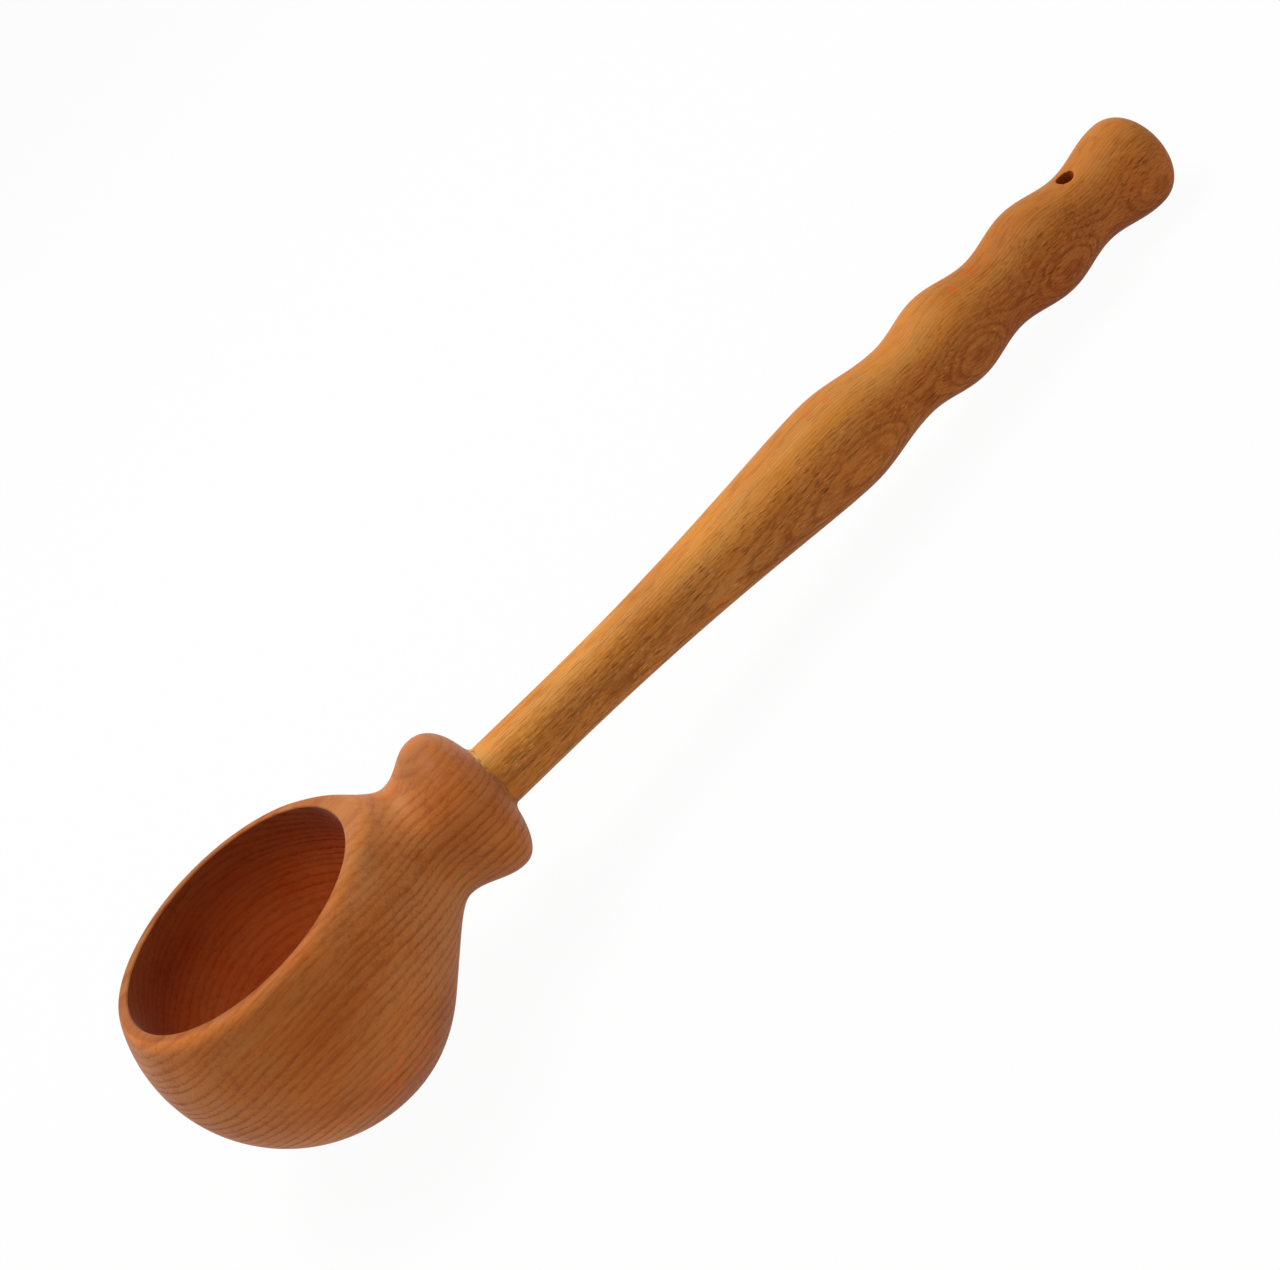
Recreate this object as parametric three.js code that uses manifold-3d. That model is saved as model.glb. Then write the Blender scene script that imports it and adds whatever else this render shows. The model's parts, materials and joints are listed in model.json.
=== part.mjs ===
// A turned wooden ladle: a round bowl head with a neck and a knob, and a long grip handle
// whose plain round end is glued into a blind socket in the knob.
//
// All sizes are in millimetres. The pieces are drawn with the handle's axis along +X, the
// opening facing +Z and the middle of the ball at 0, 0, 0. The whole ladle is then laid
// down as it lies on a table, on the bowl and on the last crest of the handle.

import * as THREE from 'three';
import { mergeVertices } from 'three/addons/utils/BufferGeometryUtils.js';
import Module from 'manifold-3d';

// Bowl head, outside
const ballRadius = 48.5;          // across the handle's axis
const ballLength = 47.8;          // from the ball's middle to its nose
const shoulderStart = 31;         // where the ball runs out into the shoulder
const shoulderHold = 0.62;        // share of the shoulder that keeps the ball's slope
const neckAt = 52.8;              // narrowest place of the neck, from the ball's middle
const neckRadius = 19.5;
const neckRun = 4.5;              // how far the neck's curve runs along the axis
const neckToKnob = 15;            // from the neck to the knob's crest
const knobRadius = 24.2;
const knobDome = 10.8;            // from the knob's crest to its end
const domeFullness = 2.4;         // 2 is an ellipse, more is a fuller rounded end
const shoulderLean = 0.078;       // slope by which the shoulder reaches further at the top
const faceLean = 0.042;           // the same for the knob's end face
const restFlat = 15;              // width of the flat under the ball that the ladle rests on

// Bowl head, hollow
const openingHeight = 24.9;       // of the flat rim above the ball's middle
const openingRadius = 38.7;
const openingShift = 1;           // of the hollow towards the handle
const bellyRadius = 41.5;         // widest place of the hollow
const bellyDepth = 22;            // of that place below the rim
const bowlDepth = 65;             // from the rim to the bottom of the hollow

// Handle
const shaftRadius = 10;           // at the knob and inside the socket
const shaftStraight = 21;         // plain round stretch in front of the knob
const shaftLength = 139;          // from the knob's end to the crest of the swell
const shaftHold = 65;             // how far the slim shaft holds its line into the swell
const swellHold = 18;             // how far the swell's crest holds its line backwards
const swellRadius = 15.75;
const swellToWaist = 26.8;
const waistRadius = 12.55;
const crestRadius = 15.45;
const gripPitch = 37.6;           // from one waist to the next
const gripCount = 3;              // waists, each with a crest behind it
const endDome = 10.4;             // from the last crest to the handle's end
const hangHoleRadius = 2.8;       // drilled across the last waist
const hangHoleTurn = 6.5;         // degrees about the handle, off the opening's direction

// Glued joint
const socketDepth = 30;           // from the knob's end
const tenonChamfer = 1;
const tenonEndGap = 1;            // room for glue at the socket's bottom
const glueThickness = 0.3;
const glueGap = 0.1;              // between the glue film and the wood
const beadWidth = 1.3;            // squeezed-out glue around the shaft
const beadHeight = 1.2;

// Fineness of the round surfaces
const headSides = 48;
const handleSides = 28;
const holeSides = 20;
const arcSteps = 9;
const curveSteps = 6;
const beadSteps = 4;
const cutMargin = 5;              // how far a cutter reaches past what it cuts

// Places along the axis that follow from the sizes
const knobAt = neckAt + neckToKnob;
const knobEnd = knobAt + knobDome;
const socketRadius = shaftRadius + glueThickness + 2 * glueGap;
const socketBottom = knobEnd - socketDepth;
const tenonEnd = socketBottom + tenonEndGap;
const swellAt = knobEnd + shaftLength;
const firstWaistAt = swellAt + swellToWaist;
const lastWaistAt = firstWaistAt + (gripCount - 1) * gripPitch;
const endCrestAt = lastWaistAt + gripPitch / 2;

// How the ladle lies on a table: on the flat under the ball and on a flat side of the last
// crest. The turn is the handle's slope, and the height is that of the ball's middle.
const restHeight = Math.sqrt(ballRadius ** 2 - (restFlat / 2) ** 2);
const crestFlat = crestRadius * Math.cos(Math.PI / handleSides);
const restTurn = Math.asin((restHeight - crestFlat) / endCrestAt);

const wasm = await Module();
wasm.setup();

// Boolean helpers

function toSolid(geometry) {
  const bare = geometry.clone();
  bare.deleteAttribute('normal');
  bare.deleteAttribute('uv');
  const welded = mergeVertices(bare, 1e-4);
  return new wasm.Manifold(new wasm.Mesh({
    numProp: 3,
    vertProperties: new Float32Array(welded.attributes.position.array),
    triVerts: new Uint32Array(welded.index.array),
  }));
}

function toGeometry(solid) {
  const mesh = solid.getMesh();
  const geometry = new THREE.BufferGeometry();
  geometry.setAttribute('position', new THREE.BufferAttribute(mesh.vertProperties, 3));
  geometry.setIndex(new THREE.BufferAttribute(mesh.triVerts, 1));
  geometry.computeVertexNormals();
  return geometry;
}

// Profile helpers: a profile is a list of points with x along the axis and y the radius

// The first side starts half a step early, so that a flat side and not an edge faces down.
function turned(profile, sides) {
  const spun = profile.map((point) => new THREE.Vector2(point.y, point.x));
  return new THREE.LatheGeometry(spun, sides, Math.PI / sides).rotateZ(-Math.PI / 2);
}

// A smooth run between two places where the outline is level, such as a waist and a crest.
function wave(fromAt, fromRadius, toAt, toRadius) {
  const points = [];
  for (let step = 1; step <= curveSteps; step += 1) {
    const share = step / curveSteps;
    const rise = (1 - Math.cos(Math.PI * share)) / 2;
    points.push(new THREE.Vector2(
      THREE.MathUtils.lerp(fromAt, toAt, share),
      THREE.MathUtils.lerp(fromRadius, toRadius, rise),
    ));
  }
  return points;
}

// A rounded end from a crest to the axis, fuller than an ellipse.
function dome(crestAt, crest, length) {
  const power = 2 / domeFullness;
  const points = [];
  for (let step = 1; step < arcSteps; step += 1) {
    const angle = (Math.PI / 2) * (step / arcSteps);
    points.push(new THREE.Vector2(
      crestAt + length * Math.sin(angle) ** power,
      crest * Math.cos(angle) ** power,
    ));
  }
  points.push(new THREE.Vector2(crestAt + length, 0));
  return points;
}

// Place along the axis of the knob's end face at a given radius.
function knobFaceAt(radius) {
  const share = (radius / knobRadius) ** domeFullness;
  return knobAt + knobDome * (1 - share) ** (1 / domeFullness);
}

// The shoulder and the knob's face are not quite square to the axis: both reach further
// towards the handle at the top of the head.
function leanAt(x) {
  const shoulderMiddle = (shoulderStart + neckAt) / 2;
  const shoulder = THREE.MathUtils.smoothstep(x, 0, shoulderMiddle)
    * (1 - THREE.MathUtils.smoothstep(x, neckAt, knobAt));
  const face = THREE.MathUtils.smoothstep(x, knobAt, knobEnd);
  return shoulderLean * shoulder + faceLean * face;
}

function leaned(geometry) {
  const position = geometry.attributes.position;
  for (let index = 0; index < position.count; index += 1) {
    const x = position.getX(index);
    position.setX(index, x + leanAt(x) * position.getZ(index));
  }
  return geometry;
}

// Bowl head

function headProfile() {
  const points = [];
  const leaveAngle = Math.acos(-shoulderStart / ballLength);
  const ballSteps = 2 * arcSteps;
  for (let step = 0; step <= ballSteps; step += 1) {
    const angle = leaveAngle * (step / ballSteps);
    const radius = step === 0 ? 0 : ballRadius * Math.sin(angle);
    points.push(new THREE.Vector2(-ballLength * Math.cos(angle), radius));
  }
  const leave = points[points.length - 1];
  const slope = -((ballRadius / ballLength) ** 2) * (shoulderStart / leave.y);
  const hold = shoulderHold * (neckRadius - leave.y);
  const shoulder = new THREE.CubicBezierCurve(
    leave,
    new THREE.Vector2(leave.x + hold / slope, leave.y + hold),
    new THREE.Vector2(neckAt - neckRun, neckRadius),
    new THREE.Vector2(neckAt, neckRadius),
  );
  points.push(...shoulder.getPoints(curveSteps).slice(1));
  points.push(...wave(neckAt, neckRadius, knobAt, knobRadius));
  points.push(...dome(knobAt, knobRadius, knobDome));
  return points;
}

// The solid that is taken out of the bowl, standing on its own upright axis.
function hollowProfile() {
  const points = [];
  for (let step = 0; step <= arcSteps; step += 1) {
    const angle = (Math.PI / 2) * (step / arcSteps);
    const height = -bellyDepth - (bowlDepth - bellyDepth) * Math.cos(angle);
    points.push(new THREE.Vector2(step === 0 ? 0 : bellyRadius * Math.sin(angle), height));
  }
  const wall = wave(-bellyDepth, bellyRadius, 0, openingRadius);
  points.push(...wall.map((point) => new THREE.Vector2(point.y, point.x)));
  points.push(new THREE.Vector2(openingRadius, cutMargin));
  points.push(new THREE.Vector2(0, cutMargin));
  return points;
}

function bowlHead() {
  const blank = toSolid(leaned(turned(headProfile(), headSides)));

  const blockSize = 2 * (ballRadius + knobEnd);
  const block = new THREE.BoxGeometry(blockSize, blockSize, blockSize);
  const top = block.clone().translate(0, 0, openingHeight + blockSize / 2);
  const table = block.translate(0, 0, -restHeight - blockSize / 2).rotateY(-restTurn);

  const hollow = new THREE.LatheGeometry(hollowProfile(), headSides).rotateX(Math.PI / 2);
  hollow.translate(openingShift, 0, openingHeight);

  const socket = turned([
    new THREE.Vector2(socketBottom, 0),
    new THREE.Vector2(socketBottom, socketRadius),
    new THREE.Vector2(knobEnd + cutMargin, socketRadius),
    new THREE.Vector2(knobEnd + cutMargin, 0),
  ], handleSides);

  const solid = blank
    .subtract(toSolid(top))
    .subtract(toSolid(table))
    .subtract(toSolid(hollow))
    .subtract(toSolid(socket));
  return toGeometry(solid);
}

// Handle

function handleProfile() {
  const straightEnd = knobEnd + shaftStraight;
  const swell = new THREE.CubicBezierCurve(
    new THREE.Vector2(straightEnd, shaftRadius),
    new THREE.Vector2(straightEnd + shaftHold, shaftRadius),
    new THREE.Vector2(swellAt - swellHold, swellRadius),
    new THREE.Vector2(swellAt, swellRadius),
  );
  const points = [
    new THREE.Vector2(tenonEnd, 0),
    new THREE.Vector2(tenonEnd, shaftRadius - tenonChamfer),
    new THREE.Vector2(tenonEnd + tenonChamfer, shaftRadius),
    ...swell.getPoints(arcSteps),
    ...wave(swellAt, swellRadius, firstWaistAt, waistRadius),
  ];
  for (let grip = 0; grip < gripCount; grip += 1) {
    const waistAt = firstWaistAt + grip * gripPitch;
    const crestAt = waistAt + gripPitch / 2;
    points.push(...wave(waistAt, waistRadius, crestAt, crestRadius));
    if (grip < gripCount - 1) {
      points.push(...wave(crestAt, crestRadius, waistAt + gripPitch, waistRadius));
    }
  }
  points.push(...dome(endCrestAt, crestRadius, endDome));
  return points;
}

function handle() {
  const drillLength = 2 * (crestRadius + cutMargin);
  const drill = new THREE.CylinderGeometry(hangHoleRadius, hangHoleRadius, drillLength, holeSides);
  drill.rotateX(Math.PI / 2 + THREE.MathUtils.degToRad(hangHoleTurn));
  drill.translate(lastWaistAt, 0, 0);
  return toGeometry(toSolid(turned(handleProfile(), handleSides)).subtract(toSolid(drill)));
}

// Glue: a thin film around the tenon, with the bead that was squeezed out at the mouth

function glueFilm() {
  const innerRadius = shaftRadius + glueGap;
  const outerRadius = socketRadius - glueGap;
  const mouthAt = knobFaceAt(socketRadius) + glueGap;
  const filmEnd = tenonEnd + tenonChamfer;
  const profile = [
    new THREE.Vector2(filmEnd, innerRadius),
    new THREE.Vector2(filmEnd, outerRadius),
    new THREE.Vector2(mouthAt, outerRadius),
  ];
  for (let step = 0; step <= beadSteps; step += 1) {
    const angle = (Math.PI / 2) * (step / beadSteps);
    profile.push(new THREE.Vector2(
      mouthAt + beadHeight * Math.sin(angle),
      innerRadius + (outerRadius - innerRadius + beadWidth) * Math.cos(angle),
    ));
  }
  profile.push(profile[0].clone());
  return leaned(turned(profile, handleSides));
}

// Assembly

const headWood = new THREE.MeshStandardMaterial({ color: '#9c5c33', roughness: 0.5, metalness: 0 });
const handleWood = new THREE.MeshStandardMaterial({ color: '#b27538', roughness: 0.5, metalness: 0 });
const driedGlue = new THREE.MeshStandardMaterial({ color: '#b98a55', roughness: 0.35, metalness: 0 });

function piece(name, geometry, material) {
  const mesh = new THREE.Mesh(geometry, material);
  mesh.name = name;
  return mesh;
}

const ladle = new THREE.Group();
ladle.add(piece('bowl_head', bowlHead(), headWood));
ladle.add(piece('handle', handle(), handleWood));
ladle.add(piece('glue_film', glueFilm(), driedGlue));

// Laid down on the table, with the bottom middle of its box at 0, 0, 0.
ladle.rotation.y = restTurn;
ladle.updateMatrixWorld(true);
const box = new THREE.Box3().setFromObject(ladle, true);
const middle = box.getCenter(new THREE.Vector3());
ladle.position.set(-middle.x, -middle.y, -box.min.z);
ladle.updateMatrixWorld(true);

export default ladle;
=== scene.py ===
# %% [markdown]
# # A turned wooden ladle
#
# The ladle is two pieces of turned beech and a little glue. The head is a ball with a deep
# hollow, a neck and a knob. The handle is a slim shaft that swells into a grip with three
# waists, and its plain end sits in a blind socket in the knob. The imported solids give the
# sizes and the place of everything. Here each of them is replaced by a finer mesh of the same
# form, with soft edges, an uneven bead of glue and a wood that has real grain.

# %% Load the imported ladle
import json
import math

import bpy
import numpy as np
from mathutils import Matrix, Vector


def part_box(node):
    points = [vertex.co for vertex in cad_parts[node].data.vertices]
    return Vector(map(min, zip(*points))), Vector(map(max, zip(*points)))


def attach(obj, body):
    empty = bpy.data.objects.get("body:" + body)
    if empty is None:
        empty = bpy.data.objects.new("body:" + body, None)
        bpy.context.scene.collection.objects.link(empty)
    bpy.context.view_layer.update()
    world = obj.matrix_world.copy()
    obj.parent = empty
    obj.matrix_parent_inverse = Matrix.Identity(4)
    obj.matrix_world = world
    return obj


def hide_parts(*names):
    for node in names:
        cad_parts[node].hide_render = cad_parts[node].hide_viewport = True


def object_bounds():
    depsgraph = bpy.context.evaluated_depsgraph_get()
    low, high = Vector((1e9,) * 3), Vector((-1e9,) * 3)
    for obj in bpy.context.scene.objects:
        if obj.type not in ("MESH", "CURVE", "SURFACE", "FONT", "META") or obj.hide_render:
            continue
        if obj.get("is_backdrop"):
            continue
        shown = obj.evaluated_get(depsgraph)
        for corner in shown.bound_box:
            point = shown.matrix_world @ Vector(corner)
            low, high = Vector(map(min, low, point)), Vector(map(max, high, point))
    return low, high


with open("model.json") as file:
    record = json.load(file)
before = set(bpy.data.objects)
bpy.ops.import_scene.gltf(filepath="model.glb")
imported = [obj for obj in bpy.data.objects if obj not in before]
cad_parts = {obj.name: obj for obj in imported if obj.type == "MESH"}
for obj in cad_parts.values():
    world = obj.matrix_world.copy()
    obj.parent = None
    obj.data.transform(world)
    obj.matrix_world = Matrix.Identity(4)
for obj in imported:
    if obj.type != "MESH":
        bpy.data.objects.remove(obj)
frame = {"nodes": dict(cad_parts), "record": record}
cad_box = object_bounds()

for node in frame["nodes"]:
    low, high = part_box(node)
    print(node, "size in mm", [round(1000 * side, 1) for side in high - low])

# %% [markdown]
# ## The frame of the lathe
#
# A turned piece is easiest to draw as the turner sees it: along its own axis. So all meshes
# are drawn with the handle's axis along +X, the opening facing +Z and the middle of the ball at
# the origin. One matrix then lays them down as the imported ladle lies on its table. The flat
# rim gives that matrix: its mount is known in both frames. The wood needs the lathe's frame
# as well, because its grain follows the lathe's axis.

# %% Lay the ladle down
MM = 0.001
RIM_POINT = Vector((42.3, 0, 24.9)) * MM    # the rim's mount, seen from the ball's middle

rim = next(mount for mount in frame["record"]["mounts"] if mount["name"] == "rim")
rest_turn = math.atan2(rim["axis"][0], rim["axis"][2])
turn = Matrix.Rotation(rest_turn, 4, "Y")
lay_down = Matrix.Translation(Vector(rim["pos_m"]) - turn @ RIM_POINT) @ turn
print("the handle slopes by", round(math.degrees(rest_turn), 2), "degrees")

# %% [markdown]
# ## Camera
#
# The opening's ellipse and the line of the handle fix where the photograph was taken from:
# a bit above the rim, with the handle running up to the right. The camera is built from
# three angles in the lathe's frame and then laid down with the ladle. A plain lens with no
# shift is enough, because the middle of the picture is aimed at by moving the camera sideways.

# %% Camera
CAMERA_RISE = math.radians(28.587)      # above the plane of the rim
CAMERA_SWING = math.radians(-6.9)       # towards the nose of the ball
CAMERA_ROLL = math.radians(-40.679)
CAMERA_DISTANCE = 600 * MM              # from the ball's middle, along the view
AIM_RIGHT = 97.93 * MM                  # where the picture's middle lies, from the ball's middle
AIM_UP = 94.63 * MM
IMAGE_WIDTH = 1280
FOCAL_PIXELS = 2140.5
SENSOR_WIDTH = 36                       # millimetres, as the lens

backwards = Vector((
    math.sin(CAMERA_SWING) * math.cos(CAMERA_RISE),
    -math.cos(CAMERA_SWING) * math.cos(CAMERA_RISE),
    math.sin(CAMERA_RISE),
))
level = Vector((math.cos(CAMERA_SWING), math.sin(CAMERA_SWING), 0))
upright = backwards.cross(level)
right = math.cos(CAMERA_ROLL) * level + math.sin(CAMERA_ROLL) * upright
up = math.cos(CAMERA_ROLL) * upright - math.sin(CAMERA_ROLL) * level
camera_place = AIM_RIGHT * right + AIM_UP * up + CAMERA_DISTANCE * backwards
camera_turn = Matrix((right, up, backwards)).transposed().to_4x4()

camera = bpy.data.objects.new("camera", bpy.data.cameras.new("camera"))
camera.data.sensor_fit = "HORIZONTAL"
camera.data.sensor_width = SENSOR_WIDTH
camera.data.lens = SENSOR_WIDTH * FOCAL_PIXELS / IMAGE_WIDTH
camera.matrix_world = lay_down @ Matrix.Translation(camera_place) @ camera_turn
bpy.context.scene.collection.objects.link(camera)
bpy.context.scene.camera = camera
print("lens", round(camera.data.lens, 1), "mm at", [round(x, 3) for x in camera.matrix_world.translation])

# %% [markdown]
# ## Turning
#
# A lathe spins a profile about an axis. A profile here is a list of points, each with a place
# along the axis and a radius, and it starts and ends on the axis, so the mesh is closed. The
# curves between the points that matter are formulas, so the mesh can be as fine as the
# picture needs: about one step for each millimetre.

# %% Profiles
FINE_STEP = 1 * MM


def steps_over(length):
    """Evenly spaced shares of a run, from just after 0 up to 1, about one per fine step."""
    count = max(2, math.ceil(abs(length) / FINE_STEP))
    return np.arange(1, count + 1) / count


def points_of(places, radii):
    """Profile points from their places along the axis and their radii."""
    return np.stack([np.asarray(places), np.asarray(radii)], axis=1)


def wave(from_at, from_radius, to_at, to_radius):
    """A smooth run between two places where the outline is level, such as a waist and a crest."""
    share = steps_over(to_at - from_at)
    rise = (1 - np.cos(math.pi * share)) / 2
    return points_of(from_at + (to_at - from_at) * share, from_radius + (to_radius - from_radius) * rise)


def bezier(start, leave, arrive, end):
    """A smooth run that leaves the start and arrives at the end along two given points."""
    share = steps_over(end[0] - start[0])[:, None]
    corners = [np.array(corner) for corner in (start, leave, arrive, end)]
    weights = [(1 - share) ** 3, 3 * share * (1 - share) ** 2, 3 * share ** 2 * (1 - share), share ** 3]
    return sum(weight * corner for weight, corner in zip(weights, corners))


DOME_FULLNESS = 2.4     # 2 is an ellipse, more is a fuller rounded end


def dome(crest_at, crest, length):
    """A rounded end from a crest to the axis."""
    angle = steps_over(2 * crest) * math.pi / 2
    power = 2 / DOME_FULLNESS
    radii = crest * np.cos(angle) ** power
    radii[-1] = 0
    return points_of(crest_at + length * np.sin(angle) ** power, radii)


# %% [markdown]
# A spun profile is a ring of points for each of its points and a fan of triangles at both ends.
# The finished mesh is laid down on the table point by point, so that its object stays unmoved.

# %% The lathe
def spin(profile, sides):
    """Points and faces of a profile spun about +X. Its first and last point are on the axis."""
    angle = 2 * math.pi * np.arange(sides) / sides
    rings = profile[1:-1]
    ring_points = np.stack([
        np.repeat(rings[:, 0], sides),
        np.outer(rings[:, 1], np.sin(angle)).ravel(),
        np.outer(rings[:, 1], np.cos(angle)).ravel(),
    ], axis=1)
    ends = [(profile[0, 0], 0, 0), (profile[-1, 0], 0, 0)]
    points = np.vstack([ring_points, ends])
    first_end, last_end = len(points) - 2, len(points) - 1
    last_ring = (len(rings) - 1) * sides
    faces = []
    for side in range(sides):
        following = (side + 1) % sides
        faces.append((first_end, side, following))
        faces.append((last_end, last_ring + following, last_ring + side))
        for start in range(0, last_ring, sides):
            faces.append((start + side, start + sides + side, start + sides + following, start + following))
    return points, faces


def piece(name, points, faces):
    """A new object with that mesh, drawn in the lathe's frame and laid down on the table."""
    laid = points @ np.array(lay_down.to_3x3()).T + np.array(lay_down.translation)
    mesh = bpy.data.meshes.new(name)
    mesh.from_pydata(laid.tolist(), [], faces)
    made = bpy.data.objects.new(name, mesh)
    bpy.context.scene.collection.objects.link(made)
    return made


# %% [markdown]
# Hollow, socket and hang hole are taken out by booleans, each with a turned cutter. Then the
# mesh is shaded smooth, and only its true edges stay sharp.

# %% Cutting and shading
def cut(body, cutter):
    """Takes the cutter's solid out of the body and removes the cutter."""
    modifier = body.modifiers.new("cut", "BOOLEAN")
    modifier.operation = "DIFFERENCE"
    modifier.solver = "MANIFOLD"
    modifier.object = cutter
    bpy.context.view_layer.update()
    evaluated = body.evaluated_get(bpy.context.evaluated_depsgraph_get())
    body.data = bpy.data.meshes.new_from_object(evaluated)
    body.modifiers.clear()
    bpy.data.objects.remove(cutter)


SHARP_ANGLE = math.radians(35)


def smooth(body):
    """Shades a mesh as one smooth surface, with true edges kept sharp."""
    body.data.shade_smooth()
    body.data.set_sharp_from_angle(angle=SHARP_ANGLE)
    print(body.name, len(body.data.polygons), "faces")


# %% [markdown]
# ## Bowl head
#
# The head was turned as one closed ball with a neck and a knob, then cut flat on top and
# hollowed. The mesh follows that order. The flat top isn't cut with a block: every point of
# the ball that stands above the rim is pressed down to it by a soft minimum, which rounds the
# outer edge of the rim just as sanding does. The hollow is a second turned body, on an upright
# axis, and a boolean takes it out.

# %% Head profile
BALL_RADIUS = 48.5 * MM         # across the handle's axis
BALL_LENGTH = 47.77 * MM        # from the ball's middle to its nose
SHOULDER_START = 31 * MM        # where the ball runs out into the shoulder
SHOULDER_HOLD = 0.62            # share of the shoulder that keeps the ball's slope
NECK_AT = 52.8 * MM
NECK_RADIUS = 19.5 * MM
NECK_RUN = 4.5 * MM             # how far the neck's curve runs along the axis
KNOB_AT = NECK_AT + 15 * MM
KNOB_RADIUS = 24.2 * MM
KNOB_DOME = 10.8 * MM
KNOB_END = KNOB_AT + KNOB_DOME
HEAD_SIDES = 300


def head_profile():
    """The ball from its nose, the shoulder, the neck and the knob with its domed end."""
    leave_angle = math.acos(-SHOULDER_START / BALL_LENGTH)
    angle = np.append(0, steps_over(leave_angle * BALL_RADIUS)) * leave_angle
    ball = points_of(-BALL_LENGTH * np.cos(angle), BALL_RADIUS * np.sin(angle))
    leave_radius = ball[-1, 1]
    slope = -((BALL_RADIUS / BALL_LENGTH) ** 2) * SHOULDER_START / leave_radius
    hold = SHOULDER_HOLD * (NECK_RADIUS - leave_radius)
    shoulder = bezier(
        (SHOULDER_START, leave_radius),
        (SHOULDER_START + hold / slope, leave_radius + hold),
        (NECK_AT - NECK_RUN, NECK_RADIUS),
        (NECK_AT, NECK_RADIUS),
    )
    knob = wave(NECK_AT, NECK_RADIUS, KNOB_AT, KNOB_RADIUS)
    return np.vstack([ball, shoulder, knob, dome(KNOB_AT, KNOB_RADIUS, KNOB_DOME)])


# %% [markdown]
# The real head isn't perfectly round: shoulder and knob reach a bit further towards the handle
# at the top. Then the rim is pressed flat, with a rounder edge on the side that pours, and the
# ball gets the small flat that it rests on.

# %% Head outside
SHOULDER_LEAN = 0.078           # slope by which the shoulder reaches further at the top
FACE_LEAN = 0.042               # the same for the knob's end face


def smoothstep(value, low, high):
    """A smooth step from 0 to 1 as the value goes from low to high."""
    share = np.clip((value - low) / (high - low), 0, 1)
    return share * share * (3 - 2 * share)


def lean(points):
    """The shoulder and the knob's face reach further towards the handle at the top."""
    x, z = points[:, 0], points[:, 2]
    shoulder = smoothstep(x, 0, (SHOULDER_START + NECK_AT) / 2) * (1 - smoothstep(x, NECK_AT, KNOB_AT))
    face = smoothstep(x, KNOB_AT, KNOB_END)
    leaned = points.copy()
    leaned[:, 0] += (SHOULDER_LEAN * shoulder + FACE_LEAN * face) * z
    return leaned


OPENING_HEIGHT = RIM_POINT.z    # of the flat rim above the ball's middle
RIM_SOFTNESS = 1.2 * MM         # how far the rounding of the rim's outer edge reaches
POURING_SOFTNESS = 5 * MM       # the same on the side that has been worn by pouring
POURING_SIDE = (-0.3, 0.8)      # where that side begins and is full, in ball radii


def soft_minimum(value, limit, softness):
    """The lesser of value and limit, rounded where one takes over from the other."""
    share = np.clip(0.5 + 0.5 * (limit - value) / softness, 0, 1)
    return value * share + limit * (1 - share) - softness * share * (1 - share)


def press_rim(points):
    """Presses the top of the ball down to the flat rim. Neck and knob stay as they are."""
    pressed = points.copy()
    bowl = points[:, 0] < NECK_AT
    worn = smoothstep(-points[bowl, 1] / BALL_RADIUS, *POURING_SIDE)
    softness = RIM_SOFTNESS + (POURING_SOFTNESS - RIM_SOFTNESS) * worn
    pressed[bowl, 2] = soft_minimum(points[bowl, 2], OPENING_HEIGHT, softness)
    return pressed


def rest_on_table(points):
    """Flattens the lowest part of a piece where it lies on the table."""
    up_here = np.array(turn.inverted() @ Vector((0, 0, 1)))
    height = points @ up_here + lay_down.translation.z
    return points - np.outer(np.minimum(height, 0), up_here)


head_points, head_faces = spin(head_profile(), HEAD_SIDES)
head_points[:, 1] *= cad_box[1][1] / head_points[:, 1].max()
head = piece("ladle_head", rest_on_table(press_rim(lean(head_points))), head_faces)

# %% [markdown]
# The hollow is a bit wider below the rim than at it, as a turner undercuts a bowl, and it
# stands slightly towards the handle, which leaves the rim wider at the neck. A small bevel at
# its lip catches the light along the inner edge.

# %% Hollow and socket
OPENING_RADIUS = 38.7 * MM
OPENING_SHIFT = 1 * MM          # of the hollow towards the handle
BELLY_RADIUS = 41.5 * MM
BELLY_DEPTH = 22 * MM           # below the rim
BOWL_DEPTH = 65 * MM
LIP_BEVEL = 0.35 * MM
CUT_MARGIN = 5 * MM             # how far a cutter reaches past what it cuts
SHAFT_RADIUS = 10 * MM
SOCKET_DEPTH = 30 * MM          # from the knob's end
GLUE_GAP = 0.5 * MM             # between the tenon and the socket's wall


def hollow_profile():
    """The hollow from its bottom over its widest place to the lip, along its upright axis."""
    angle = np.append(0, steps_over(BELLY_RADIUS * math.pi / 2)) * math.pi / 2
    bottom = points_of(
        -BELLY_DEPTH - (BOWL_DEPTH - BELLY_DEPTH) * np.cos(angle),
        BELLY_RADIUS * np.sin(angle),
    )
    wall = wave(-BELLY_DEPTH, BELLY_RADIUS, -LIP_BEVEL, OPENING_RADIUS)
    lip = points_of([CUT_MARGIN, CUT_MARGIN], [OPENING_RADIUS + CUT_MARGIN + LIP_BEVEL, 0])
    return np.vstack([bottom, wall, lip])


hollow_points, hollow_faces = spin(hollow_profile(), HEAD_SIDES)
standing = hollow_points[:, [1, 2, 0]] + np.array([OPENING_SHIFT, 0, OPENING_HEIGHT])
cut(head, piece("hollow", standing, hollow_faces))

SOCKET_SIDES = 96
socket_radius = SHAFT_RADIUS + GLUE_GAP
socket_profile = points_of(
    [KNOB_END - SOCKET_DEPTH, KNOB_END - SOCKET_DEPTH, KNOB_END + CUT_MARGIN, KNOB_END + CUT_MARGIN],
    [0, socket_radius, socket_radius, 0],
)
cut(head, piece("socket", *spin(socket_profile, SOCKET_SIDES)))
smooth(head)

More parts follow.
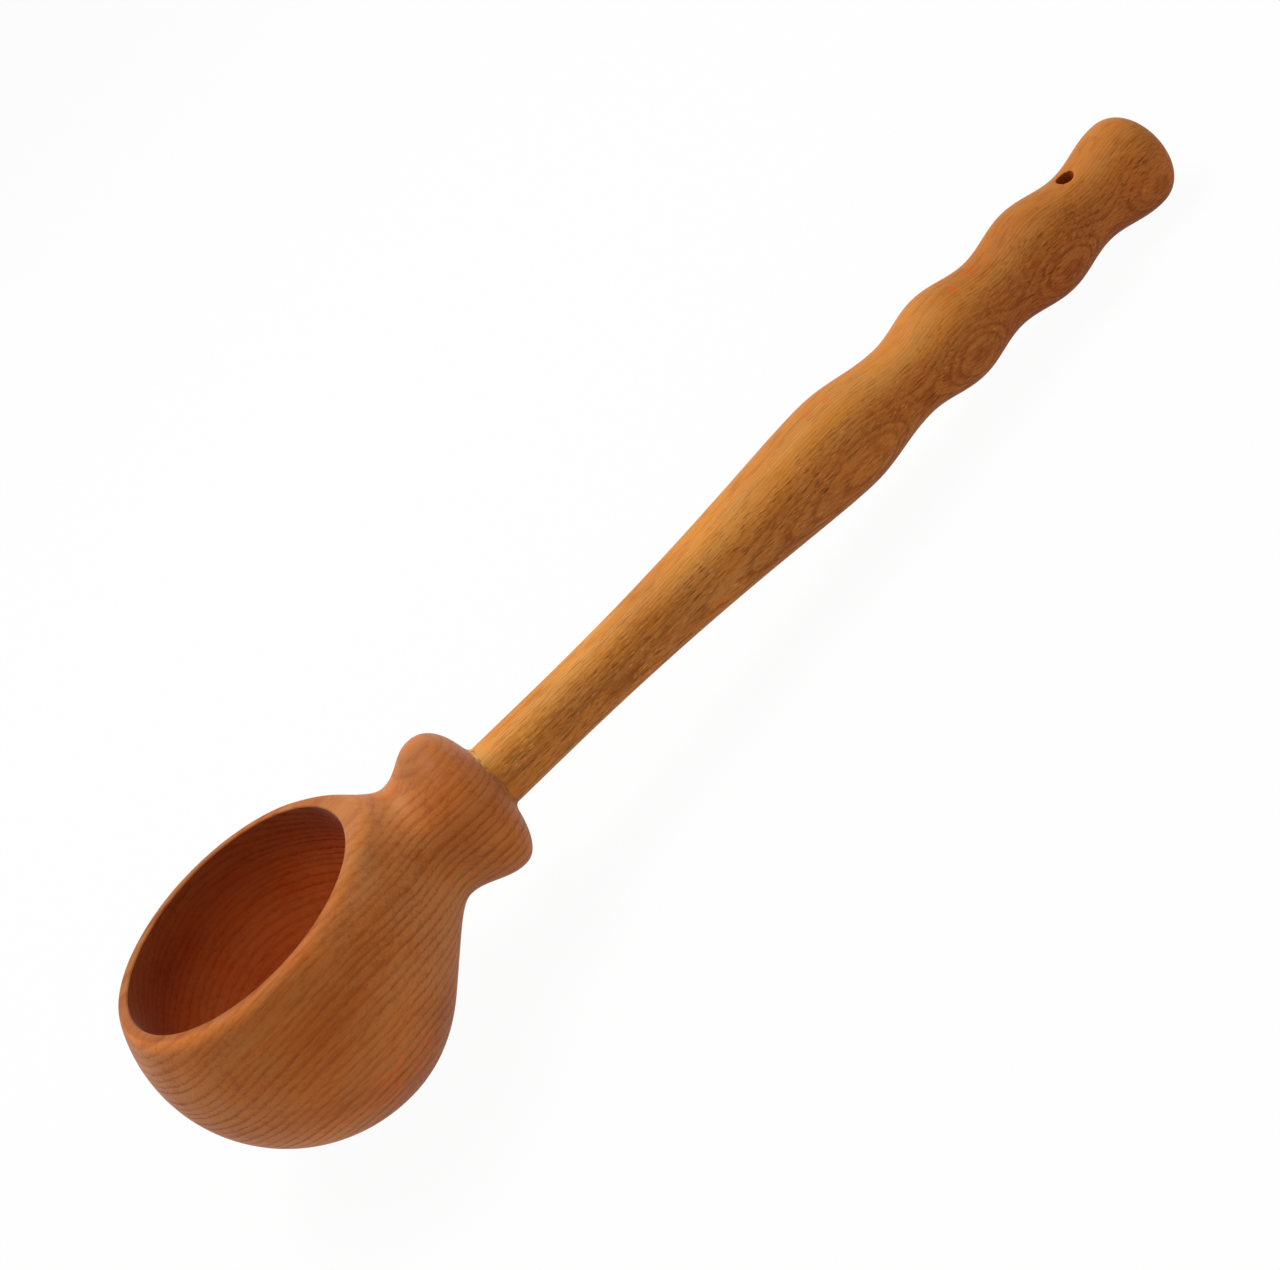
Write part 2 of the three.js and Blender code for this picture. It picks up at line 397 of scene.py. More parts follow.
# %% [markdown]
# ## Handle
#
# The handle is one turned rod: the tenon in the socket, a slim shaft, a long swell, three
# waists for the fingers and a rounded tip.

# %% Handle profile
TENON_ROOM = 1 * MM             # between the tenon's end and the socket's bottom
TENON_END = KNOB_END - SOCKET_DEPTH + TENON_ROOM
TENON_CHAMFER = 1 * MM
SHAFT_STRAIGHT = 21 * MM        # plain round stretch in front of the knob
SWELL_AT = KNOB_END + 139 * MM
SHAFT_HOLD = 65 * MM            # how far the slim shaft holds its line into the swell
SWELL_HOLD = 18 * MM
SWELL_RADIUS = 15.75 * MM
FIRST_WAIST_AT = SWELL_AT + 26.8 * MM
WAIST_RADIUS = 12.55 * MM
CREST_RADIUS = 15.45 * MM
GRIP_PITCH = 37.6 * MM          # from one waist to the next
GRIP_COUNT = 3
LAST_WAIST_AT = FIRST_WAIST_AT + (GRIP_COUNT - 1) * GRIP_PITCH
END_CREST_AT = LAST_WAIST_AT + GRIP_PITCH / 2
END_DOME = 10.39 * MM
HANDLE_SIDES = 180


def handle_profile():
    """The handle from the tenon's end over shaft, swell, waists and crests to the tip."""
    straight_end = KNOB_END + SHAFT_STRAIGHT
    tenon = points_of(
        [TENON_END, TENON_END, TENON_END + TENON_CHAMFER, straight_end],
        [0, SHAFT_RADIUS - TENON_CHAMFER, SHAFT_RADIUS, SHAFT_RADIUS],
    )
    swell = bezier(
        (straight_end, SHAFT_RADIUS),
        (straight_end + SHAFT_HOLD, SHAFT_RADIUS),
        (SWELL_AT - SWELL_HOLD, SWELL_RADIUS),
        (SWELL_AT, SWELL_RADIUS),
    )
    runs = [tenon, swell, wave(SWELL_AT, SWELL_RADIUS, FIRST_WAIST_AT, WAIST_RADIUS)]
    for grip in range(GRIP_COUNT):
        waist_at = FIRST_WAIST_AT + grip * GRIP_PITCH
        crest_at = waist_at + GRIP_PITCH / 2
        runs.append(wave(waist_at, WAIST_RADIUS, crest_at, CREST_RADIUS))
        if grip < GRIP_COUNT - 1:
            runs.append(wave(crest_at, CREST_RADIUS, waist_at + GRIP_PITCH, WAIST_RADIUS))
    runs.append(dome(END_CREST_AT, CREST_RADIUS, END_DOME))
    return np.vstack(runs)


# %% [markdown]
# The hang hole is drilled across the last waist, a little aside. Drilled holes in wood have a
# worn edge, so the surface sinks in a small round around the hole before the drill is taken out.

# %% Handle with its hang hole
HOLE_AT = Vector((LAST_WAIST_AT, 0, 0))
HOLE_RADIUS = 2.8 * MM
HOLE_TURN = math.radians(6.5)   # about the handle, off the opening's direction
HOLE_WEAR = 0.6 * MM            # rounding of its edge
HOLE_SIDES = 64
drill_way = Vector((0, -math.sin(HOLE_TURN), math.cos(HOLE_TURN)))


def wear_hole(points):
    """Lets the surface sink in a small round where the drill will go through it."""
    away = points - np.array(HOLE_AT)
    along = away @ np.array(drill_way)
    beside = np.linalg.norm(away - np.outer(along, drill_way), axis=1)
    rest = np.clip((beside - HOLE_RADIUS) / HOLE_WEAR, 0, 1)
    depth = HOLE_WEAR * (1 - np.sqrt(1 - (1 - rest) ** 2))
    radius = np.maximum(np.hypot(points[:, 1], points[:, 2]), HOLE_WEAR)
    worn = points.copy()
    worn[:, 1:] *= (1 - depth / radius)[:, None]
    return worn


handle_points, handle_faces = spin(handle_profile(), HANDLE_SIDES)
handle = piece("ladle_handle", rest_on_table(wear_hole(handle_points)), handle_faces)

drill_reach = CREST_RADIUS + CUT_MARGIN
drill_profile = points_of(
    [-drill_reach, -drill_reach, drill_reach, drill_reach],
    [0, HOLE_RADIUS, HOLE_RADIUS, 0],
)
drill_points, drill_faces = spin(drill_profile, HOLE_SIDES)
aim_drill = Vector((1, 0, 0)).rotation_difference(drill_way).to_matrix()
cut(handle, piece("drill", drill_points @ np.array(aim_drill).T + np.array(HOLE_AT), drill_faces))
smooth(handle)

# %% [markdown]
# ## Glue
#
# When the tenon was pushed home, glue squeezed out around the foot of the shaft and dried to a
# thin bead, wiped with a finger: a hollow fillet that runs out on the knob's face and on the
# shaft. It is a closed ring: a sleeve in the socket with that fillet on top, whose size changes
# around the shaft.

# %% Glue
GLUE_CLEARANCE = 0.1 * MM       # of the film from the wood
GLUE_THICKNESS = 0.3 * MM
GLUE_INSIDE = SHAFT_RADIUS + GLUE_CLEARANCE
GLUE_OUTSIDE = GLUE_INSIDE + GLUE_THICKNESS
BEAD_WIDTH = 1.7 * MM
BEAD_HEIGHT = 1.5 * MM
BEAD_LIFT = 0.02 * MM           # the bead lies on the knob without touching its mesh
BEAD_STEPS = 8
GLUE_SIDES = 180
BEAD_LEAST = 0.5                # share of the full bead where it is thinnest
BEAD_RIPPLES = [(7, 0.05, 0), (11, 0.04, 1)]    # waves round the shaft, rise, and shift
BEAD_LUMPS = [                  # angle, spread, and rise
    (-2.35, 0.2, 0.5),
    (-1.4, 0.5, 0.2),
    (0.3, 0.4, 0.5),
    (1.8, 0.6, 0.4),
]


def knob_face_at(radius):
    """Where the knob's domed end lies along the axis, at that radius."""
    share = (radius / KNOB_RADIUS) ** DOME_FULLNESS
    return KNOB_AT + KNOB_DOME * (1 - share) ** (1 / DOME_FULLNESS)


def bead_size(angle):
    """Share of the full bead at an angle round the shaft, from the top towards +Y."""
    size = np.full_like(angle, BEAD_LEAST)
    for waves, rise, shift in BEAD_RIPPLES:
        size = size + rise * np.sin(waves * angle + shift)
    for middle, spread, rise in BEAD_LUMPS:
        off = np.angle(np.exp(1j * (angle - middle)))
        size = size + rise * np.exp(-(off / spread) ** 2)
    return np.clip(size, 0, 1)


def glue_ring():
    """Points and faces of the closed ring: loops round the shaft, from the film's end to the bead."""
    angle = 2 * math.pi * np.arange(GLUE_SIDES) / GLUE_SIDES
    size = bead_size(angle)
    mouth = knob_face_at(socket_radius)
    film_end = TENON_END + TENON_CHAMFER
    full = GLUE_OUTSIDE - GLUE_INSIDE + BEAD_WIDTH
    film = [(film_end, GLUE_INSIDE), (film_end, GLUE_OUTSIDE), (mouth, GLUE_OUTSIDE)]
    loops = [(np.full_like(size, at), np.full_like(size, radius)) for at, radius in film]
    for step in range(BEAD_STEPS + 1):
        bend = math.pi / 2 * step / BEAD_STEPS
        radius = GLUE_INSIDE + full * size * (1 - math.sin(bend))
        face = knob_face_at(np.maximum(radius, socket_radius)) + BEAD_LIFT
        loops.append((face + BEAD_HEIGHT * size * (1 - math.cos(bend)), radius))
    points = np.vstack([
        np.stack([at, radius * np.sin(angle), radius * np.cos(angle)], axis=1) for at, radius in loops
    ])
    faces = []
    for loop in range(len(loops)):
        here, there = loop * GLUE_SIDES, (loop + 1) % len(loops) * GLUE_SIDES
        for side in range(GLUE_SIDES):
            following = (side + 1) % GLUE_SIDES
            faces.append((here + side, there + side, there + following, here + following))
    return lean(points), faces


glue = piece("ladle_glue", *glue_ring())
smooth(glue)

# %% [markdown]
# ## Beech
#
# Both woods are beech, so both use one node group. Beech has three things that a flat brown
# lacks: growth layers, which show as thin darker lines where the turned surface cuts them;
# short dark dashes along the grain, which are its rays; and pale specks. Its ground isn't even
# either: fibres, streaks and patches make it paler and deeper, greyer and redder. All of that
# lives in the solid wood, so it is worked out from the lathe's coordinates in millimetres and
# runs on unbroken around every curve. First come a few helpers that wire nodes.

# %% Node helpers
def colour(red, green, blue):
    """A screen colour, 0 to 255, as a shader takes it: linear, by the standard sRGB curve."""
    shares = [part / 255 for part in (red, green, blue)]
    linear = [((share + 0.055) / 1.055) ** 2.4 if share > 0.04045 else share / 12.92 for share in shares]
    return (*linear, 1)


def add(tree, kind, inputs=None, **settings):
    """Adds a node, with its settings and its inputs: plain values are set and sockets are linked."""
    made = tree.nodes.new(kind)
    for name, value in settings.items():
        setattr(made, name, value)
    for name, value in (inputs or {}).items():
        if isinstance(value, bpy.types.NodeSocket):
            tree.links.new(value, made.inputs[name])
        else:
            made.inputs[name].default_value = value
    return made


def calculate(tree, operation, first, second=0.0, third=0.0):
    """A number worked out from up to three others."""
    values = {0: first, 1: second, 2: third}
    return add(tree, "ShaderNodeMath", values, operation=operation).outputs[0]


def product(tree, first, *others):
    """All these numbers multiplied."""
    for other in others:
        first = calculate(tree, "MULTIPLY", first, other)
    return first


def ramp(tree, value, low, high, to_low=0.0, to_high=1.0):
    """A smooth step from to_low to to_high as the value goes from low to high."""
    inputs = {"Value": value, "From Min": low, "From Max": high, "To Min": to_low, "To Max": to_high}
    return add(tree, "ShaderNodeMapRange", inputs, interpolation_type="SMOOTHSTEP").outputs[0]


FACTOR, FIRST_COLOUR, SECOND_COLOUR = 0, 6, 7   # inputs of a Mix node that mixes colours
MIXED_COLOUR = 2                                # and its output


def blend(tree, factor, first, second, way="MIX"):
    """A colour that goes from the first to the second, or to their product, with the factor."""
    inputs = {FACTOR: factor, FIRST_COLOUR: first, SECOND_COLOUR: second}
    return add(tree, "ShaderNodeMix", inputs, data_type="RGBA", blend_type=way).outputs[MIXED_COLOUR]


# %% [markdown]
# Grain runs along the lathe's axis, so a noise for wood has long, narrow cells. All cells below
# are given as a length along the axis and a width across it, in millimetres.

# %% Places and noise
def vector_math(tree, operation, first, second):
    """A node that works something out from two vectors."""
    return add(tree, "ShaderNodeVectorMath", {0: first, 1: second}, operation=operation)


def dot(tree, place, way):
    """How far a place lies in a direction."""
    return vector_math(tree, "DOT_PRODUCT", place, way).outputs["Value"]


def distance_to(tree, place, point):
    """How far a place lies from a point."""
    return vector_math(tree, "DISTANCE", place, point).outputs["Value"]


def distance_to_line(tree, place, point, way):
    """How far a place lies from the line through a point in a direction."""
    away = vector_math(tree, "SUBTRACT", place, point).outputs[0]
    along = vector_math(tree, "PROJECT", away, way).outputs[0]
    return distance_to(tree, away, along)


def stretched(tree, place, cell):
    """Coordinates counted in cells of that length and width."""
    length, width = cell
    return vector_math(tree, "MULTIPLY", place, (1 / length, 1 / width, 1 / width)).outputs[0]


def noise(tree, place, cell, detail=2.0, roughness=0.5):
    """Soft noise from 0 to 1 with cells of that length and width."""
    cells = stretched(tree, place, cell)
    inputs = {"Vector": cells, "Scale": 1.0, "Detail": detail, "Roughness": roughness}
    return add(tree, "ShaderNodeTexNoise", inputs).outputs[0]


# %% [markdown]
# A ring of growth begins pale and ends in a thin dark line. The distance from the pith, counted
# in rings, tells where in its ring a place lies. Noise makes the rings wavy and unequal, and
# breaks and fades their lines here and there.

# %% Growth rings
RING_WAVES = [                  # cell, detail, and by how many rings it shifts
    ((50, 16), 2, 1.2),
    ((3, 1.4), 1, 0.28),
]
UNEVEN_RATE = 0.45              # how fast the width of the rings changes from ring to ring
UNEVEN_SHIFT = 0.8              # and by how many rings that shifts
LATE_WOOD = (0.3, 0.95)         # share of a ring over which its wood deepens
LINE_START = (0.56, 0.86)       # over which its dark line sets in
LINE_END = (1.0, 0.91)          # and over which the line ends, counted back
BREAK_CELL = (5, 0.9)
BREAKS = (0.36, 0.58, 0.3, 1)   # noise from and to, and how much of the line is left there
FADING_CELL = (30, 12)
FADING = (0.35, 0.6, 0.4, 1)


def ring_depth(tree, given):
    """Distance from the pith, counted in growth rings: uneven and slightly wavy, as trees grow."""
    place = given["Place"]
    distance = distance_to_line(tree, place, given["Pith"], given["Pith Way"])
    depth = calculate(tree, "DIVIDE", distance, given["Ring Spacing"])
    for cell, detail, shift in RING_WAVES:
        depth = calculate(tree, "MULTIPLY_ADD", noise(tree, place, cell, detail), shift, depth)
    inputs = {"W": depth, "Scale": UNEVEN_RATE, "Detail": 1.0}
    uneven = add(tree, "ShaderNodeTexNoise", inputs, noise_dimensions="1D").outputs[0]
    return calculate(tree, "MULTIPLY_ADD", uneven, UNEVEN_SHIFT, depth)


def growth_line(tree, place, inside):
    """Mask of the dark line that ends each ring."""
    breaks = ramp(tree, noise(tree, place, BREAK_CELL), *BREAKS)
    fading = ramp(tree, noise(tree, place, FADING_CELL, detail=1), *FADING)
    return product(tree, ramp(tree, inside, *LINE_START), ramp(tree, inside, *LINE_END), breaks, fading)


# %% [markdown]
# Dashes and specks are spindles: a Voronoi texture puts one point into each long, narrow cell,
# and the distance from it, counted in cells, draws a spindle along the grain. Only some of the
# cells keep theirs. The dashes crowd in some places, and the specks come in clumps.

# %% Dashes and specks
LONG_DASHES = ((13, 0.68), 0.36, 0.4)   # cell, size in cells, and the share of cells that keep one
SHORT_DASHES = ((6, 0.55), 0.38, 0.5)
SPECKS = ((3.2, 0.5), 0.36, 0.45)
SPINDLE_CORE = 0.3              # share of a spindle's size that is full
FAINT_SHARE = 0.15              # share of the cells whose spindle is faint
CROWD_CELL = (26, 5)
CROWDS = (0.35, 0.6, 0.35, 1)   # noise from and to, and how much of the dashes is left there
CLUMP_CELL = (14, 4)
CLUMPS = (0.5, 0.6)


def spindles(tree, place, cell, size, share):
    """Mask of short spindles along the grain: one in each cell, and only that share of them."""
    found = add(tree, "ShaderNodeTexVoronoi", {"Vector": stretched(tree, place, cell), "Scale": 1.0}).outputs
    chance = add(tree, "ShaderNodeSeparateColor", {"Color": found["Color"]}).outputs[0]
    kept = ramp(tree, chance, 1 - share, 1 - share + FAINT_SHARE)
    return product(tree, ramp(tree, found["Distance"], size, SPINDLE_CORE * size), kept)


def dash_mask(tree, place):
    """The dark dashes, long and short."""
    long_dashes = spindles(tree, place, *LONG_DASHES)
    short_dashes = spindles(tree, place, *SHORT_DASHES)
    crowds = ramp(tree, noise(tree, place, CROWD_CELL), *CROWDS)
    return product(tree, calculate(tree, "MAXIMUM", long_dashes, short_dashes), crowds)


def speck_mask(tree, place):
    """The pale specks."""
    clumps = ramp(tree, noise(tree, place, CLUMP_CELL), *CLUMPS)
    return product(tree, spindles(tree, place, *SPECKS), clumps)


# %% [markdown]
# The ground between those marks has a tone from 0, the pale wood, to 1, the deep wood. Several
# parts add up to it, each with its share. Wide soft patches then tint it greyer or redder.

# %% Ground of the wood
TONE_START = -0.3               # before its parts are added
PATCH_CELL = (45, 15)
PATCH_SHARE = 1.2
STREAK_CELL = (9, 1.4)
STREAKS = (0.45, 0.7)
STREAK_SHARE = 0.25
LATE_SHARE = 0.2
NOISE_MIDDLE = 0.5
BLUSH_CELL = (20, 7)
BLUSH = (0.36, 0.64)
GREY_BLUSH = (0.99, 1.0, 1.1, 1)
RED_BLUSH = (1.04, 0.96, 0.85, 1)


def ground(tree, given, fibres, late):
    """The wood's colour without lines, dashes and specks."""
    place = given["Place"]
    tone = TONE_START
    for part, share in [
        (noise(tree, place, PATCH_CELL), PATCH_SHARE),
        (calculate(tree, "SUBTRACT", fibres, NOISE_MIDDLE), given["Fibre Strength"]),
        (ramp(tree, noise(tree, place, STREAK_CELL, detail=3), *STREAKS), STREAK_SHARE),
        (late, LATE_SHARE),
    ]:
        tone = calculate(tree, "MULTIPLY_ADD", part, share, tone)
    wood = blend(tree, ramp(tree, tone, 0, 1), given["Pale Wood"], given["Deep Wood"])
    blush = ramp(tree, noise(tree, place, BLUSH_CELL, detail=3), *BLUSH)
    return blend(tree, 1.0, wood, blend(tree, blush, GREY_BLUSH, RED_BLUSH), "MULTIPLY")


# %% [markdown]
# The group puts it all together. What differs between the two woods comes in through its
# sockets, and it gives back a colour, a roughness and a height for the fine relief.

# %% The beech group
GROUP_INPUTS = {
    "NodeSocketVector": ["Place", "Pith", "Pith Way"],
    "NodeSocketFloat": ["Ring Spacing", "Fibre Strength", "Line Strength", "Dash Strength", "Speck Strength"],
    "NodeSocketColor": ["Pale Wood", "Deep Wood", "Line Wood", "Dash Wood", "Speck Wood"],
}
GROUP_OUTPUTS = {
    "NodeSocketColor": ["Colour"],
    "NodeSocketFloat": ["Roughness", "Height"],
}
FIBRE_CELL = (2.4, 0.4)
FIBRE_DETAIL = 4
FIBRE_HARSHNESS = 0.65          # how much of the noise lies in its finest detail
BASE_ROUGHNESS = 0.47
FIBRE_ROUGHNESS = 0.14          # what fibres and lines add to it
LINE_ROUGHNESS = 0.06
DASH_DEPTH = 0.8                # how far dashes and lines lie below the fibres
LINE_DEPTH = 0.3


def beech_group():
    """The node group of both woods."""
    group = bpy.data.node_groups.new("turned beech", "ShaderNodeTree")
    for way, sockets in [("INPUT", GROUP_INPUTS), ("OUTPUT", GROUP_OUTPUTS)]:
        for kind, names in sockets.items():
            for name in names:
                group.interface.new_socket(name, in_out=way, socket_type=kind)
    given = add(group, "NodeGroupInput").outputs
    place = given["Place"]

    inside = calculate(group, "FRACT", ring_depth(group, given))
    fibres = noise(group, place, FIBRE_CELL, FIBRE_DETAIL, FIBRE_HARSHNESS)
    line = growth_line(group, place, inside)
    dashes = dash_mask(group, place)
    wood = ground(group, given, fibres, ramp(group, inside, *LATE_WOOD))
    for mark, mask in [("Line", line), ("Dash", dashes), ("Speck", speck_mask(group, place))]:
        strength = product(group, mask, given[mark + " Strength"])
        wood = blend(group, strength, wood, given[mark + " Wood"])

    roughness = calculate(group, "MULTIPLY_ADD", fibres, FIBRE_ROUGHNESS, BASE_ROUGHNESS)
    roughness = calculate(group, "MULTIPLY_ADD", line, LINE_ROUGHNESS, roughness)
    height = calculate(group, "MULTIPLY_ADD", dashes, -DASH_DEPTH, fibres)
    height = calculate(group, "MULTIPLY_ADD", line, -LINE_DEPTH, height)
    add(group, "NodeGroupOutput", {"Colour": wood, "Roughness": roughness, "Height": height})
    return group


beech = beech_group()
print("beech group with", len(beech.nodes), "nodes")

# %% [markdown]
# The head is the redder piece. Its pith lay about 80 mm above the ball's middle, so its growth
# rings are bowed like stacked saucers: they run along the handle on the outside and turn
# level inside. The handle is golden, and its pith lay far to the side. Each wood gets its own
# looks, plain or changing from place to place, and the same group does the rest.

# %% Wood material
GRAIN_BUMP = 0.3                # strength of the grain's relief
GRAIN_DEPTH = 0.15 * MM
DULL_SHINE = 0.06               # specular level of oiled wood, and of dried glue


def dress(body, material):
    """Gives the whole body one finish."""
    body.data.materials.clear()
    body.data.materials.append(material)
    body.data.polygons.foreach_set("material_index", np.zeros(len(body.data.polygons), dtype=np.int32))
    print(body.name, "is", material.name, "with", len(material.node_tree.nodes), "nodes")


def lathe_place(tree):
    """Where a point lies in the lathe's frame, in millimetres."""
    where = add(tree, "ShaderNodeTexCoord").outputs["Object"]
    laid = {"Vector": where, "Location": lay_down.translation, "Rotation": (0, rest_turn, 0)}
    lathe = add(tree, "ShaderNodeMapping", laid, vector_type="TEXTURE").outputs[0]
    return add(tree, "ShaderNodeVectorMath", {0: lathe, "Scale": 1 / MM}, operation="SCALE").outputs[0]


def bare_material(name):
    """A new material with an empty node tree."""
    material = bpy.data.materials.new(name)
    material.use_nodes = True
    material.node_tree.nodes.clear()
    return material


def beech_material(name, looks, stain_and_shade, sheen):
    """A satin wood with the group's grain, and the piece's stains, painted light and painted shade."""
    material = bare_material(name)
    tree = material.node_tree
    place = lathe_place(tree)
    inputs = {slot: look(tree, place) if callable(look) else look for slot, look in looks.items()}
    grain = add(tree, "ShaderNodeGroup", {"Place": place, **inputs}, node_tree=beech).outputs
    relief = {"Height": grain["Height"], "Strength": GRAIN_BUMP, "Distance": GRAIN_DEPTH}
    shader = add(tree, "ShaderNodeBsdfPrincipled", {
        "Base Color": stain_and_shade(tree, place, grain["Colour"]),
        "Roughness": grain["Roughness"],
        "Specular IOR Level": DULL_SHINE,
        "Sheen Weight": sheen,
        "Normal": add(tree, "ShaderNodeBump", relief).outputs[0],
    })
    add(tree, "ShaderNodeOutputMaterial", {"Surface": shader.outputs[0]})
    return material


# %% [markdown]
# On the head's outside the growth lines are clearest at the nose. They are faint on the cheek of
# the ball, towards the top and on the worn edge of the rim. The hollow hides them except towards
# the neck. All places are points in the lathe's frame, in millimetres.

# %% Head grain
ALONG = (1, 0, 0)               # the lathe's axis, from the nose to the handle
UPWARDS = (0, 0, 1)             # from the ball's middle to the opening
HOLLOW_MIDDLE = (1, 0, 2.9)
HOLLOW_REACH = 44.3             # from that middle: the hollow lies nearer, the outside does not
HOLLOW_BORDER = 0.4             # over which its mask ends
EDGE_LOW = (21.8, 23.2)         # heights over which the rim's worn edge sets in
EDGE_HIGH = (24.9, 24.3)        # and over which it ends, counted down from the flat rim
CHEEK = (-7, -45.6, 5)

# How strong fibres and lines are: measured from and to, and the strength at both.
EDGE_FIBRES = (0, 1, 0.8, 0.4)
CHEEK_LINES = (14, 40, 0.1, 0.42)
EDGE_LINES = (0, 1, 1, 0.4)
TOP_LINES = (6, 20, 1, 0.45)
NOSE_LINES = (-35, 15, 1.6, 0.8)
HOLLOW_LINES = (0, 34, 0.1, 0.62)


def hollow_mask(tree, place):
    """1 in the hollow, 0 on the outside."""
    return ramp(tree, distance_to(tree, place, HOLLOW_MIDDLE), HOLLOW_REACH + HOLLOW_BORDER, HOLLOW_REACH)


def edge_mask(tree, place):
    """The worn outer edge of the rim."""
    height = dot(tree, place, UPWARDS)
    outside = calculate(tree, "SUBTRACT", 1, hollow_mask(tree, place))
    return product(tree, ramp(tree, height, *EDGE_LOW), ramp(tree, height, *EDGE_HIGH), outside)


def head_fibres(tree, place):
    """Strength of the fibres."""
    return ramp(tree, edge_mask(tree, place), *EDGE_FIBRES)


def head_lines(tree, place):
    """Strength of the growth lines, outside and in the hollow."""
    along = dot(tree, place, ALONG)
    outside = product(
        tree,
        ramp(tree, distance_to(tree, place, CHEEK), *CHEEK_LINES),
        ramp(tree, edge_mask(tree, place), *EDGE_LINES),
        ramp(tree, dot(tree, place, UPWARDS), *TOP_LINES),
        ramp(tree, along, *NOSE_LINES),
    )
    inside = ramp(tree, along, *HOLLOW_LINES)
    change = calculate(tree, "SUBTRACT", inside, outside)
    return calculate(tree, "MULTIPLY_ADD", hollow_mask(tree, place), change, outside)


# %% [markdown]
# Tints on the head: stains, painted light and painted shade. The hollow is painted darker and redder
# on its upper wall under the rim, as shade, and paler at its bottom, as light. The ball's middle
# towards the camera is painted darker and redder than its edges, as shade. A paler patch low on the
# ball is painted light from the floor, a redder mottled patch sits low on the ball, and the knob is
# darker on top. The top of neck and knob is darker, and painted shade lies below the rim towards the
# nose, while the worn edge of the rim stays nearly as pale as the ball. Each tint here is a mask and
# a colour that the wood's colour is multiplied by, so their order doesn't matter.

# %% Head stains, painted light and painted shade
HOLLOW_UP = (-0.15, 0, 1)       # from the paler bottom to the darker upper wall
HOLLOW_SHADE_SPAN = (-14, 18)
# painted light on the hollow's bottom, and painted shade on its upper wall under the rim
HOLLOW_BOTTOM_LIGHT_TINT = (1.1, 1.12, 1.15, 1)
HOLLOW_WALL_SHADE_TINT = (0.55, 0.43, 0.42, 1)
HEAD_PATCHES = [                # middle, distances over which it sets in, and tint
    (CHEEK, (36, 12), (0.93, 0.86, 0.74, 1)),               # painted shade: the ball's middle towards the camera, darker and redder
    ((-17, -34.5, -29.5), (20, 5), (1.22, 1.25, 1.32, 1)),  # painted light: paler, greyer low side of the ball, lit from the floor
    ((67, -3, 24), (11, 2), (0.76, 0.78, 0.8, 1)),          # darker top of the knob
]
RED_PATCH = (6, -39, -27)
RED_REACH = (20, 6)
MOTTLE_CELL = (7, 3)
MOTTLES = (0.38, 0.6)
RED_TINT = (1.24, 1.0, 0.88, 1)
NECK_START = (18, 45)           # along the axis
NECK_TINT = (1.0, 1.06, 1.12, 1)
KNOB_START = (50, 62)
KNOB_TINT = (0.96, 0.94, 0.95, 1)
TOP_START = (28, 45, 22.5, 11)  # along the axis, and the height at which the darker top sets in there
TOP_FULL = 24.5
TOP_TINT = (0.72, 0.72, 0.74, 1)
# painted shade below the rim's edge towards the nose
BELOW_RIM_SHADE_HEIGHT = (14, 21)
BELOW_RIM_SHADE_ALONG = (20, -5)
BELOW_RIM_SHADE_TINT = (0.84, 0.82, 0.77, 1)
RIM_NECK = (20, 36)             # where the rim's edge comes to the neck
RIM_TINT = (0.97, 0.95, 0.89, 1)
RIM_NECK_TINT = (0.84, 0.83, 0.8, 1)


def tint_between(tree, value, limits, first, second):
    """A tint that goes from the first to the second as the value goes through the limits."""
    return blend(tree, ramp(tree, value, *limits), first, second)


def tinted(tree, wood, tints):
    """The wood's colour with all these stains and painted light and shade, each a mask and a tint."""
    for mask, tint in tints:
        wood = blend(tree, mask, wood, tint, "MULTIPLY")
    return wood


def head_stain_and_shade(tree, place, wood):
    """The head's colour with its stains, painted light and painted shade."""
    along = dot(tree, place, ALONG)
    height = dot(tree, place, UPWARDS)
    hollow = hollow_mask(tree, place)
    edge = edge_mask(tree, place)
    unworn = calculate(tree, "SUBTRACT", 1, calculate(tree, "MAXIMUM", hollow, edge))
    red = ramp(tree, distance_to(tree, place, RED_PATCH), *RED_REACH)
    mottles = ramp(tree, noise(tree, place, MOTTLE_CELL, detail=3), *MOTTLES)
    top = ramp(tree, height, ramp(tree, along, *TOP_START), TOP_FULL)
    below_rim_shade = product(tree, ramp(tree, height, *BELOW_RIM_SHADE_HEIGHT), ramp(tree, along, *BELOW_RIM_SHADE_ALONG))
    # the hollow gets painted light at its bottom and painted shade on its upper wall
    hollow_up = dot(tree, place, HOLLOW_UP)
    tints = [
        (hollow, tint_between(tree, hollow_up, HOLLOW_SHADE_SPAN, HOLLOW_BOTTOM_LIGHT_TINT, HOLLOW_WALL_SHADE_TINT)),
        (product(tree, red, mottles), RED_TINT),
        (ramp(tree, along, *NECK_START), tint_between(tree, along, KNOB_START, NECK_TINT, KNOB_TINT)),
        (product(tree, top, unworn), TOP_TINT),
        # painted shade below the rim towards the nose
        (product(tree, below_rim_shade, unworn), BELOW_RIM_SHADE_TINT),
        (edge, tint_between(tree, along, RIM_NECK, RIM_TINT, RIM_NECK_TINT)),
    ]
    for middle, reach, tint in HEAD_PATCHES:
        tints.append((ramp(tree, distance_to(tree, place, middle), *reach), tint))
    return tinted(tree, wood, tints)


# %% [markdown]
# The head's looks are its own values for the sockets of the group, and its stains and painted light and
# shade.

